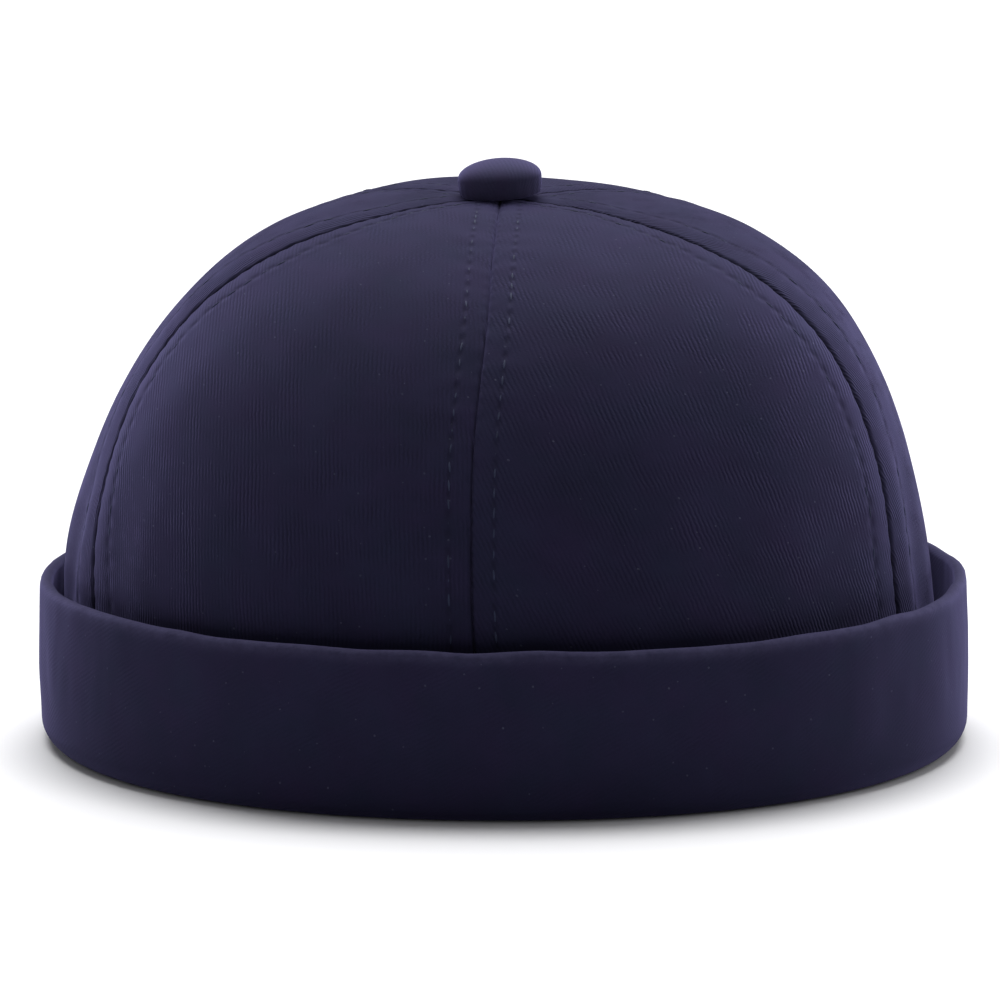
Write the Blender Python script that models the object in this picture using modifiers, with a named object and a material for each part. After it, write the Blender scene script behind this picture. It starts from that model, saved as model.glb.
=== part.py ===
"""A brimless docker-style sailor cap, in metres, with +Z up and the front facing -Y.

Six sewn cloth panels make the crown. A folded band is turned up round its foot as the cuff,
and a cloth-covered button sits on the top, held by a plain rivet that passes between the tips.
Angles round the cap are azimuths in degrees: 0 is the front (-Y) and 90 is +X. Left and right
are those of someone who looks at the front.
"""

import math

import bmesh
import bpy
from mathutils import Vector

# Driving sizes of the crown, measured on the outside of the cloth
CROWN_HALF_WIDTH = 0.0870
CROWN_HALF_DEPTH = 0.0970
CROWN_HEIGHT = 0.1063
CROWN_CLOTH = 0.0016
TOP_LEAN = 0.088
BUTTON_SETBACK = 0.0056
SIDE_SWAY = 0.0015

# The crown's roundness: 2 is an ellipse, and more is fuller towards a box
SHOULDER_FULLNESS = 2.92
HEIGHT_FULLNESS = 2.45
PLAN_FULLNESS = 2.1

# Soft relief of the panels: how far each one puffs out between its seams, and its deepest fold
PANEL_PUFF = 0.0011
FOLD_DEPTH = 0.0009

# Driving sizes of the cuff, a band of folded cloth
CUFF_HEIGHT = 0.0328
CUFF_CLOTH = 0.0030
CUFF_STANDOFF = 0.0027
CUFF_BELLY = 0.0004
CUFF_FOLD_RADIUS = 0.0030
CUFF_WEB_REACH = 0.0024
CUFF_BACK_RISE = 0.0006

# Driving sizes of the button and of the rivet that holds it
BUTTON_RADIUS = 0.0084
BUTTON_HEIGHT = 0.0070
BUTTON_TUCK = 0.0007
BUTTON_WAIST_SHARE = 0.50
BUTTON_FULLNESS = 2.0
BUTTON_ROLL = -4.0
POST_RADIUS = 0.0018
POST_WASHER_RADIUS = 0.0055
POST_WASHER_THICKNESS = 0.0008

# Clearance between pieces that lie against each other
GAP = 0.0003

# Mesh density
PANEL_COLUMNS = 12
PANEL_ROWS = 18
CUFF_COLUMNS = 64
CUFF_WEB_ROWS = 2
CUFF_FOLD_ROWS = 4
CUFF_WALL_ROWS = 5
BUTTON_STEPS = 28
BUTTON_TOP_ROWS = 7
BUTTON_TUCK_ROWS = 3
POST_STEPS = 16

# The seams: name of the panel that starts there, azimuth where the seam meets the foot, and how
# many degrees it bends round by half of its rise
SEAMS = [
    ("front_right", -2.3, -2.7),
    ("side_right", 63.5, 3.0),
    ("back_right", 125.0, 0.0),
    ("back_left", 178.5, 0.0),
    ("side_left", 232.0, 0.0),
    ("front_left", 297.5, -17.0),
]

# Soft upright folds over the foot of the crown: azimuth, half spread in degrees,
# height share where the fold is deepest, half spread as a height share, and share of
# FOLD_DEPTH, which is negative where the cloth swells out over the cuff
FOLDS = [
    (-94.0, 16.0, 0.34, 0.20, -0.90),
    (-80.0, 7.0, 0.30, 0.34, 1.00),
    (-60.0, 9.0, 0.42, 0.30, 0.55),
    (-20.0, 12.0, 0.30, 0.26, 0.40),
    (14.0, 10.0, 0.55, 0.34, 0.45),
    (46.0, 12.0, 0.34, 0.30, 0.50),
    (75.0, 7.0, 0.36, 0.36, 1.00),
    (93.0, 16.0, 0.34, 0.20, -0.90),
    (146.0, 12.0, 0.34, 0.30, 0.60),
    (205.0, 11.0, 0.32, 0.30, 0.55),
    (252.0, 12.0, 0.40, 0.30, 0.60),
]

# How the soft crown sways to the sides: height share, half spread as a height share, and share
# of SIDE_SWAY towards +X
SWAYS = [
    (0.33, 0.33, -1.00),
    (0.82, 0.25, 0.78),
    (1.00, 0.14, -0.60),
]

# Base colours, roughness and metallic value of each finish
CROWN_COLOR = (0.0137, 0.0130, 0.0290, 1.0)
CUFF_COLOR = (0.0105, 0.0105, 0.0210, 1.0)
BUTTON_COLOR = (0.0170, 0.0160, 0.0330, 1.0)
POST_COLOR = (0.5500, 0.5500, 0.5600, 1.0)
CLOTH_ROUGHNESS = 0.95
POST_ROUGHNESS = 0.35

# The panels end just over the cuff's web
CROWN_FOOT = CUFF_CLOTH + GAP

# Length of the short steps that measure the skin's slope, as a share of the rise
NORMAL_STEP = 0.0005


def clear_scene():
    for old in list(bpy.data.objects):
        bpy.data.objects.remove(old, do_unlink=True)


def plan_direction(azimuth):
    """Unit point of the cap's plan outline, before it is stretched to width and depth."""
    angle = math.radians(azimuth)
    across = math.sin(angle)
    along = math.cos(angle)
    total = abs(across) ** PLAN_FULLNESS + abs(along) ** PLAN_FULLNESS
    size = total ** (-1.0 / PLAN_FULLNESS)
    return across * size, -along * size


def smooth_hump(distance):
    """1 in the middle, falling smoothly to 0 at a distance of 1."""
    if abs(distance) >= 1.0:
        return 0.0
    return (1.0 + math.cos(math.pi * distance)) / 2.0


def fold_depth(azimuth, height_share):
    """How far the soft folds sink the cloth at this place."""
    depth = 0.0
    for middle, spread, level, reach, share in FOLDS:
        turn = (azimuth - middle + 180.0) % 360.0 - 180.0
        sideways = smooth_hump(turn / spread)
        upright = smooth_hump((height_share - level) / reach)
        depth += FOLD_DEPTH * share * sideways * upright
    return depth


def side_sway(lift):
    """How far the crown leans towards +X at this height share."""
    return SIDE_SWAY * sum(
        share * smooth_hump((lift - level) / spread) for level, spread, share in SWAYS
    )


def crown_reach(rise):
    """Size of the crown's ring at this rise, as a share of its size at the foot."""
    return max(math.cos(rise * math.pi / 2.0), 0.0) ** (2.0 / SHOULDER_FULLNESS)


def ring_radius(azimuth, rise):
    """Distance from the ring's middle to the crown's outside."""
    across, along = plan_direction(azimuth)
    return crown_reach(rise) * math.hypot(CROWN_HALF_WIDTH * across, CROWN_HALF_DEPTH * along)


def crown_skin(azimuth, rise):
    """Outside of the crown without relief; rise runs from 0 at the foot to 1 at the pole."""
    reach = crown_reach(rise)
    lift = math.sin(rise * math.pi / 2.0) ** (2.0 / HEIGHT_FULLNESS)
    across, along = plan_direction(azimuth)
    x = CROWN_HALF_WIDTH * reach * across + side_sway(lift)
    y = CROWN_HALF_DEPTH * reach * along + BUTTON_SETBACK * (1.0 - reach)
    z = CROWN_FOOT + (CROWN_HEIGHT - CROWN_FOOT) * lift + TOP_LEAN * y * lift
    return Vector((x, y, z))


def crown_normal(azimuth, rise):
    """Outward direction of the plain crown, from two short steps over it."""
    step = NORMAL_STEP
    low = max(rise - step, 0.0)
    high = min(rise + step, 1.0)
    turn = math.degrees(step)
    over = crown_skin(azimuth + turn, rise) - crown_skin(azimuth - turn, rise)
    up = crown_skin(azimuth, high) - crown_skin(azimuth, low)
    return over.cross(up).normalized()


def crown_point(azimuth, rise, across_panel):
    """Outside of the crown with the panel's puff and the soft folds."""
    base = crown_skin(azimuth, rise)
    puff = PANEL_PUFF * math.sqrt(max(4.0 * across_panel * (1.0 - across_panel), 0.0))
    puff *= math.sqrt(max(math.sin(math.pi * rise), 0.0))
    height_share = base.z / CROWN_HEIGHT
    return base + crown_normal(azimuth, rise) * (puff - fold_depth(azimuth, height_share))


def hole_rise():
    """Rise at which the panels' tips end, leaving a hole for the rivet's shank."""
    nearest = min(CROWN_HALF_WIDTH, CROWN_HALF_DEPTH - BUTTON_SETBACK)
    reach = (POST_RADIUS + GAP) / nearest
    return math.acos(reach ** (SHOULDER_FULLNESS / 2.0)) / (math.pi / 2.0)


def shaped_grid(name, columns, rows, place, closed=False):
    """A grid whose points are moved by place(column share, row share)."""
    mesh = bpy.data.meshes.new(name)
    grid = bmesh.new()
    bmesh.ops.create_grid(grid, x_segments=columns, y_segments=rows, size=0.5)
    for point in grid.verts:
        point.co = place(point.co.x + 0.5, point.co.y + 0.5)
    if closed:
        bmesh.ops.remove_doubles(grid, verts=grid.verts, dist=0.00001)
    grid.to_mesh(mesh)
    grid.free()
    return bpy.data.objects.new(name, mesh)


def thicken(piece, thickness, offset):
    wall = piece.modifiers.new("wall", "SOLIDIFY")
    wall.thickness = thickness
    wall.offset = offset
    wall.use_even_offset = True
    wall.use_rim = True
    return wall


def shade(piece):
    piece.data.shade_smooth()
    piece.data.set_sharp_from_angle(angle=math.radians(40.0))


def finish(name, color, roughness, metallic=0.0):
    """A plain Principled finish."""
    material = bpy.data.materials.new(name)
    material.use_nodes = True
    shader = material.node_tree.nodes["Principled BSDF"]
    shader.inputs["Base Color"].default_value = color
    shader.inputs["Roughness"].default_value = roughness
    shader.inputs["Metallic"].default_value = metallic
    material.diffuse_color = color
    return material


def seam_azimuth(seam, rise):
    """Azimuth of a seam at this rise."""
    name, foot, bend = seam
    return foot + bend * smooth_hump(2.0 * rise - 1.0)


def make_panel(seam, following, lap):
    """One gore of the crown between two seams; lap is added to the second one's azimuth."""
    top = hole_rise()

    def place(column, row):
        rise = row * top
        start = seam_azimuth(seam, rise)
        end = seam_azimuth(following, rise) + lap
        radius = ring_radius((start + end) / 2.0, rise)
        margin = math.degrees(GAP / 2.0 / radius)
        azimuth = start + margin + column * (end - start - 2.0 * margin)
        return crown_point(azimuth, rise, column)

    panel = shaped_grid("crown_panel_" + seam[0], PANEL_COLUMNS, PANEL_ROWS, place)
    thicken(panel, CROWN_CLOTH, -1.0)
    shade(panel)
    return panel


def cuff_stations():
    """Middle line of the cuff's section: outset from the crown's foot line, and height."""
    low = CUFF_CLOTH / 2.0
    wall = CUFF_STANDOFF + CUFF_CLOTH / 2.0
    start = wall - CUFF_FOLD_RADIUS
    stations = []
    for row in range(CUFF_WEB_ROWS):
        share = row / CUFF_WEB_ROWS
        stations.append((-CUFF_WEB_REACH + share * (start + CUFF_WEB_REACH), low))
    for row in range(CUFF_FOLD_ROWS):
        turn = math.pi / 2.0 * row / CUFF_FOLD_ROWS
        outset = start + CUFF_FOLD_RADIUS * math.sin(turn)
        stations.append((outset, low + CUFF_FOLD_RADIUS * (1.0 - math.cos(turn))))
    foot = low + CUFF_FOLD_RADIUS
    for row in range(CUFF_WALL_ROWS + 1):
        share = row / CUFF_WALL_ROWS
        belly = CUFF_BELLY * math.sin(math.pi * share)
        stations.append((wall + belly, foot + share * (CUFF_HEIGHT - foot)))
    return stations


def make_cuff():
    """The turned-up band: a web under the panels' edges, a round fold and a standing wall."""
    stations = cuff_stations()
    last = len(stations) - 1

    def place(column, row):
        outset, height = stations[round(row * last)]
        azimuth = column * 360.0
        across, along = plan_direction(azimuth)
        rise = CUFF_BACK_RISE * along * (height / CUFF_HEIGHT) ** 2
        x = (CROWN_HALF_WIDTH + outset) * across
        y = (CROWN_HALF_DEPTH + outset) * along
        return Vector((x, y, height + rise))

    cuff = shaped_grid("cuff", CUFF_COLUMNS, last, place, closed=True)
    thicken(cuff, CUFF_CLOTH, 0.0)
    rounding = cuff.modifiers.new("soft_edges", "BEVEL")
    rounding.width = CUFF_CLOTH * 0.3
    rounding.segments = 2
    rounding.limit_method = "ANGLE"
    rounding.angle_limit = math.radians(60.0)
    shade(cuff)
    return cuff


def turned(name, profile, steps):
    """A turned piece from its outer side, listed top to bottom as radius and height."""
    mesh = bpy.data.meshes.new(name)
    points = [(radius, 0.0, height) for radius, height in profile]
    edges = [(place, place + 1) for place in range(len(points) - 1)]
    mesh.from_pydata(points, edges, [])
    piece = bpy.data.objects.new(name, mesh)
    turn = piece.modifiers.new("turn", "SCREW")
    turn.axis = "Z"
    turn.angle = math.tau
    turn.steps = steps
    turn.render_steps = steps
    turn.use_merge_vertices = True
    turn.merge_threshold = 0.00001
    turn.use_smooth_shade = True
    return piece


def seat_on_crown(piece, roll=0.0, raised=0.0):
    """Places a turned piece on the crown's outside at the pole, along its leaning normal."""
    piece.location = crown_skin(0.0, 1.0) + Vector((0.0, 0.0, raised))
    piece.rotation_euler = (math.atan(TOP_LEAN), roll, 0.0)


def make_button():
    """The covered button: a dome on an upright side whose cloth tucks in round its foot."""
    waist = BUTTON_HEIGHT * BUTTON_WAIST_SHARE
    profile = []
    for row in range(BUTTON_TOP_ROWS):
        turn = math.pi / 2.0 * row / BUTTON_TOP_ROWS
        radius = BUTTON_RADIUS * math.sin(turn) ** (2.0 / BUTTON_FULLNESS)
        height = waist + (BUTTON_HEIGHT - waist) * math.cos(turn) ** (2.0 / BUTTON_FULLNESS)
        profile.append((radius, GAP + height))
    for row in range(BUTTON_TUCK_ROWS + 1):
        turn = math.pi / 2.0 * row / BUTTON_TUCK_ROWS
        radius = BUTTON_RADIUS - BUTTON_TUCK * (1.0 - math.cos(turn))
        profile.append((radius, GAP + waist * (1.0 - math.sin(turn))))
    profile.append((0.0, GAP))
    button = turned("top_button", profile, BUTTON_STEPS)
    roll = math.radians(BUTTON_ROLL)
    seat_on_crown(button, roll, abs(math.sin(roll)) * (BUTTON_RADIUS - BUTTON_TUCK))
    return button


def make_post():
    """The rivet: a shank up to the button's underside, and a washer inside the crown."""
    washer_top = -CROWN_CLOTH - GAP
    washer_low = washer_top - POST_WASHER_THICKNESS
    profile = [
        (0.0, 0.0),
        (POST_RADIUS, 0.0),
        (POST_RADIUS, washer_top),
        (POST_WASHER_RADIUS, washer_top),
        (POST_WASHER_RADIUS, washer_low),
        (0.0, washer_low),
    ]
    post = turned("button_post", profile, POST_STEPS)
    seat_on_crown(post)
    return post


def build():
    clear_scene()
    collection = bpy.data.collections.new("sailor_cap")
    bpy.context.scene.collection.children.link(collection)
    crown_cloth = finish("crown_cloth", CROWN_COLOR, CLOTH_ROUGHNESS)
    cuff_cloth = finish("cuff_cloth", CUFF_COLOR, CLOTH_ROUGHNESS)
    button_cloth = finish("button_cloth", BUTTON_COLOR, CLOTH_ROUGHNESS)
    post_metal = finish("post_metal", POST_COLOR, POST_ROUGHNESS, 1.0)

    pieces = []
    for place, seam in enumerate(SEAMS):
        following = SEAMS[(place + 1) % len(SEAMS)]
        lap = 0.0 if following[1] > seam[1] else 360.0
        pieces.append((make_panel(seam, following, lap), crown_cloth))
    pieces.append((make_cuff(), cuff_cloth))
    pieces.append((make_button(), button_cloth))
    pieces.append((make_post(), post_metal))

    for piece, material in pieces:
        piece.data.materials.append(material)
        collection.objects.link(piece)


build()
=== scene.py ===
# %% [markdown]
# # A navy sailor cap, dressed over its solids
# This lesson gives a plain model of a brimless sailor cap the look of brushed cotton twill.
# The solids are loaded first as a fixed frame. Each one but the rivet is then replaced by a finer
# mesh of the same form, with sewn seams, soft folds and a woven surface; the rivet gets a finish.

# %% Load the fixed frame
import math

import bmesh
import bpy
import numpy as np
from mathutils import Matrix, Vector, noise


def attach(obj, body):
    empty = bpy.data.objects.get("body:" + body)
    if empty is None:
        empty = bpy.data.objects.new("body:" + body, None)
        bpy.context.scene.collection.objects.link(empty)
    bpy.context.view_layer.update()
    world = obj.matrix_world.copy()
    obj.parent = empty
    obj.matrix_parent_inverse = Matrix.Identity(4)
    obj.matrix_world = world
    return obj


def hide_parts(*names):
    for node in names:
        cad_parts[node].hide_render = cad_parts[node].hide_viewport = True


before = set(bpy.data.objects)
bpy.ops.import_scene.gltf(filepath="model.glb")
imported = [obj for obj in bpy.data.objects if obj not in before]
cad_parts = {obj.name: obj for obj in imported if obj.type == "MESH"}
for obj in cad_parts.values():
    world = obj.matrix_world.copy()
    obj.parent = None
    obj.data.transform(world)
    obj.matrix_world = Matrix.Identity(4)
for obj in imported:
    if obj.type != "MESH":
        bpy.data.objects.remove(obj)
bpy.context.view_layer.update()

print("solids:", sorted(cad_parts))

# %% [markdown]
# ## The cap's sizes
# The solids were built from a few named sizes in metres. The same sizes are written here once,
# so that every finer surface lies where its solid does. Azimuths are in degrees: 0 is the
# front seam's side, -Y, and 90 is +X.

# %% Sizes of the crown and the cuff
CROWN_HALF_WIDTH = 0.0870
CROWN_HALF_DEPTH = 0.0970
CROWN_HEIGHT = 0.1063
CROWN_CLOTH = 0.0016
TOP_LEAN = 0.088
BUTTON_SETBACK = 0.0056
SIDE_SWAY = 0.0015
SHOULDER_FULLNESS = 2.92
HEIGHT_FULLNESS = 2.45
PLAN_FULLNESS = 2.1
PANEL_PUFF = 0.0011
FOLD_DEPTH = 0.0009

CUFF_CLOTH = 0.0030
CUFF_STANDOFF = 0.0027
CUFF_BELLY = 0.0004
CUFF_FOLD_RADIUS = 0.0030
CUFF_WEB_REACH = 0.0024
CUFF_BACK_RISE = 0.0006
CUFF_HEIGHT = 0.0328

GAP = 0.0003
CROWN_FOOT = CUFF_CLOTH + GAP
SHANK_RADIUS = 0.0018

# Panel that starts at the seam, azimuth at the foot, and bend in degrees half-way up
SEAMS = [
    ("front_right", -2.3, -2.7),
    ("side_right", 63.5, 3.0),
    ("back_right", 125.0, 0.0),
    ("back_left", 178.5, 0.0),
    ("side_left", 232.0, 0.0),
    ("front_left", 297.5, -17.0),
]

# Azimuth, half spread in degrees, height share, half spread as a height share, share of depth
FOLDS = [
    (-94.0, 16.0, 0.34, 0.20, -0.90),
    (-80.0, 7.0, 0.30, 0.34, 1.00),
    (-60.0, 9.0, 0.42, 0.30, 0.55),
    (-20.0, 12.0, 0.30, 0.26, 0.40),
    (14.0, 10.0, 0.55, 0.34, 0.45),
    (46.0, 12.0, 0.34, 0.30, 0.50),
    (75.0, 7.0, 0.36, 0.36, 1.00),
    (93.0, 16.0, 0.34, 0.20, -0.90),
    (146.0, 12.0, 0.34, 0.30, 0.60),
    (205.0, 11.0, 0.32, 0.30, 0.55),
    (252.0, 12.0, 0.40, 0.30, 0.60),
]

# Height share, half spread as a height share, share of the sway towards +X
SWAYS = [
    (0.33, 0.33, -1.00),
    (0.82, 0.25, 0.78),
    (1.00, 0.14, -0.60),
]

# %% [markdown]
# ## The crown's skin as a formula
# A cap's dome is rounder than a box and fuller than a ball. A superellipse says both with two
# numbers: one for the shoulder and one for the height. The whole top leans a little towards the
# front, the button sits a little behind the middle, and the soft crown sways to the sides.


# %% Points and directions of the skin
def smooth_hump(distance):
    """1 in the middle, falling smoothly to 0 at a distance of 1."""
    near = np.clip(np.abs(distance), 0.0, 1.0)
    return (1.0 + np.cos(np.pi * near)) / 2.0


def smooth_step(value, low, high):
    """0 below low, 1 above high, and smooth between."""
    share = np.clip((value - low) / (high - low), 0.0, 1.0)
    return share * share * (3.0 - 2.0 * share)


def plan_direction(azimuth):
    """Point of the plan outline, before it is stretched to width and depth."""
    across = np.sin(np.radians(azimuth))
    along = np.cos(np.radians(azimuth))
    total = np.abs(across) ** PLAN_FULLNESS + np.abs(along) ** PLAN_FULLNESS
    size = total ** (-1.0 / PLAN_FULLNESS)
    return across * size, -along * size


def crown_reach(rise):
    """Size of the crown's ring at this rise, as a share of its size at the foot."""
    return np.clip(np.cos(rise * np.pi / 2.0), 0.0, 1.0) ** (2.0 / SHOULDER_FULLNESS)


def ring_radius(azimuth, rise):
    """Distance from the ring's middle to the crown's outside."""
    across, along = plan_direction(azimuth)
    return crown_reach(rise) * np.hypot(CROWN_HALF_WIDTH * across, CROWN_HALF_DEPTH * along)


def crown_skin(azimuth, rise):
    """Outside of the crown; rise runs from 0 at the foot to 1 at the pole."""
    reach = crown_reach(rise)
    lift = np.sin(rise * np.pi / 2.0) ** (2.0 / HEIGHT_FULLNESS)
    across, along = plan_direction(azimuth)
    sway = sum(share * smooth_hump((lift - level) / spread) for level, spread, share in SWAYS)
    x = CROWN_HALF_WIDTH * reach * across + SIDE_SWAY * sway
    y = CROWN_HALF_DEPTH * reach * along + BUTTON_SETBACK * (1.0 - reach)
    z = CROWN_FOOT + (CROWN_HEIGHT - CROWN_FOOT) * lift + TOP_LEAN * y * lift
    return np.stack([x, y, z], axis=-1)


def crown_normal(azimuth, rise):
    """Outward direction of the skin, from two short steps over it."""
    step = 0.0005
    turn = math.degrees(step)
    low = np.clip(rise - step, 0.0, 1.0)
    high = np.clip(rise + step, 0.0, 1.0)
    over = crown_skin(azimuth + turn, rise) - crown_skin(azimuth - turn, rise)
    up = crown_skin(azimuth, high) - crown_skin(azimuth, low)
    out = np.cross(over, up)
    return out / np.linalg.norm(out, axis=-1, keepdims=True)


def fold_depth(azimuth, height_share):
    """How far the soft folds sink the cloth."""
    depth = np.zeros_like(azimuth)
    for middle, spread, level, reach, share in FOLDS:
        turn = (azimuth - middle + 180.0) % 360.0 - 180.0
        sideways = smooth_hump(turn / spread)
        upright = smooth_hump((height_share - level) / reach)
        depth += FOLD_DEPTH * share * sideways * upright
    return depth


print("pole of the crown:", crown_skin(np.array(0.0), np.array(1.0)).round(4))

# %% [markdown]
# ## From a flat grid to a cloth piece
# `create_grid` makes a flat net of quads. Moving each of its points by a function turns it into
# any sheet-like form, and the net's own rows and columns give clean UV maps in metres, which
# keep a weave at its true scale on a curved surface.


# %% A helper that shapes a grid and maps it
def lay_maps(mesh_points, net, maps):
    """Writes each map's values, one pair for each point, to the net's corners."""
    for name, values in maps.items():
        layer = net.loops.layers.uv.new(name)
        for face in net.faces:
            for corner in face.loops:
                corner[layer].uv = values[mesh_points[corner.vert]]


def shaped_grid(columns, rows, place):
    """A bmesh grid moved by place, which returns the points and a dict of UV maps."""
    net = bmesh.new()
    bmesh.ops.create_grid(net, x_segments=columns, y_segments=rows, size=0.5)
    points = list(net.verts)
    flat = np.array([point.co[:2] for point in points]) + 0.5
    spots, maps = place(flat[:, 0], flat[:, 1])
    for point, spot in zip(points, spots):
        point.co = spot
    order = {point: number for number, point in enumerate(points)}
    lay_maps(order, net, maps)
    return net, points


def finished(name, net, material, angle=50.0):
    """Makes an object of a bmesh, smooth shaded, with its material."""
    mesh = bpy.data.meshes.new(name)
    net.to_mesh(mesh)
    net.free()
    mesh.shade_smooth()
    mesh.set_sharp_from_angle(angle=math.radians(angle))
    piece = bpy.data.objects.new(name, mesh)
    bpy.context.scene.collection.objects.link(piece)
    mesh.materials.append(material)
    print(name, len(mesh.polygons), "faces")
    return piece


# %% [markdown]
# ## Node helpers
# Materials here are small networks of the same few nodes. Two helpers keep them readable: one
# adds a node with its values, and one adds a maths node and wires what feeds it.


# %% Adding nodes and sums of them
def add_node(tree, kind, **values):
    node = tree.nodes.new(kind)
    for name, value in values.items():
        setattr(node, name, value)
    return node


def feed(tree, socket, value):
    """Wires a socket to another one, or sets its number or colour."""
    if isinstance(value, bpy.types.NodeSocket):
        tree.links.new(value, socket)
    else:
        socket.default_value = value


def maths(tree, operation, *values):
    """One maths node; returns its result socket."""
    node = add_node(tree, "ShaderNodeMath", operation=operation)
    for socket, value in zip(node.inputs, values):
        feed(tree, socket, value)
    return node.outputs[0]


def noise_at(tree, place, scale, detail=2.0, roughness=0.5):
    node = add_node(tree, "ShaderNodeTexNoise")
    feed(tree, node.inputs["Vector"], place)
    node.inputs["Scale"].default_value = scale
    node.inputs["Detail"].default_value = detail
    node.inputs["Roughness"].default_value = roughness
    return node.outputs["Fac"]


def mixed(tree, factor, first, second, blend="MIX"):
    """A colour mix; returns its result socket."""
    node = add_node(tree, "ShaderNodeMix", data_type="RGBA", blend_type=blend)
    feed(tree, node.inputs["Factor"], factor)
    feed(tree, node.inputs[6], first)
    feed(tree, node.inputs[7], second)
    return node.outputs[2]


def new_group(name, inputs, outputs):
    """An empty node group with named sockets."""
    group = bpy.data.node_groups.new(name, "ShaderNodeTree")
    for label, kind, default in inputs:
        socket = group.interface.new_socket(label, in_out="INPUT", socket_type=kind)
        if default is not None:
            socket.default_value = default
    for label, kind in outputs:
        group.interface.new_socket(label, in_out="OUTPUT", socket_type=kind)
    source = group.nodes.new("NodeGroupInput")
    target = group.nodes.new("NodeGroupOutput")
    return group, source.outputs, target.inputs


# %% [markdown]
# ## Twill, built once for all the cloth
# Twill is a weave whose floats step sideways on each row, so it shows fine slanting ribs. Here a
# rib is a sine wave across the slanted direction, bent a little by noise as real yarn is, and
# each rib is cut into short floats. The group gives a height for the bump and a colour in which
# the furrows carry painted shade, with blotches of the brushed nap and a few specks of lint.

# %% The twill group
RIB_PITCH = 0.00084
RIB_ROUNDNESS = 0.8
FLOAT_LENGTH = 0.00105
FLOAT_STAGGER = 2.4
FLOAT_DIP = 0.07

# Noise scales, and how far in metres the yarn strays from its line
YARN_SCALE = 620.0
YARN_STRAY = 0.00056
DRIFT_SCALE = 45.0
DRIFT_STRAY = 0.0016
NAP_SCALE = 2600.0
NAP_HEIGHT = 0.35

# Where the brushed nap hides the ribs: noise scale, its range, and the ribs' least share
HIDDEN_SCALE = 130.0
HIDDEN_FROM = 0.40
HIDDEN_TO = 0.64
HIDDEN_RIBS = 0.08

BLOTCH_SCALE = 60.0
BLOTCH_SHADE = 0.7
RIB_SHADE = 0.34
NAP_SHADE = 0.4
DYE_SCALE = 75.0
RED_TINT = (1.22, 0.92, 1.08, 1.0)
GREEN_TINT = (0.78, 1.08, 0.92, 1.0)

# Lint: cells to a metre, share of them that stay clean, and the specks' size in cells
LINT_CELLS = 230.0
CLEAN_CELLS = 0.70
LINT_SIZE = 0.020
LINT_SIZE_RANGE = 0.030
LINT_COLOUR = (0.075, 0.080, 0.120, 1.0)


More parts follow.
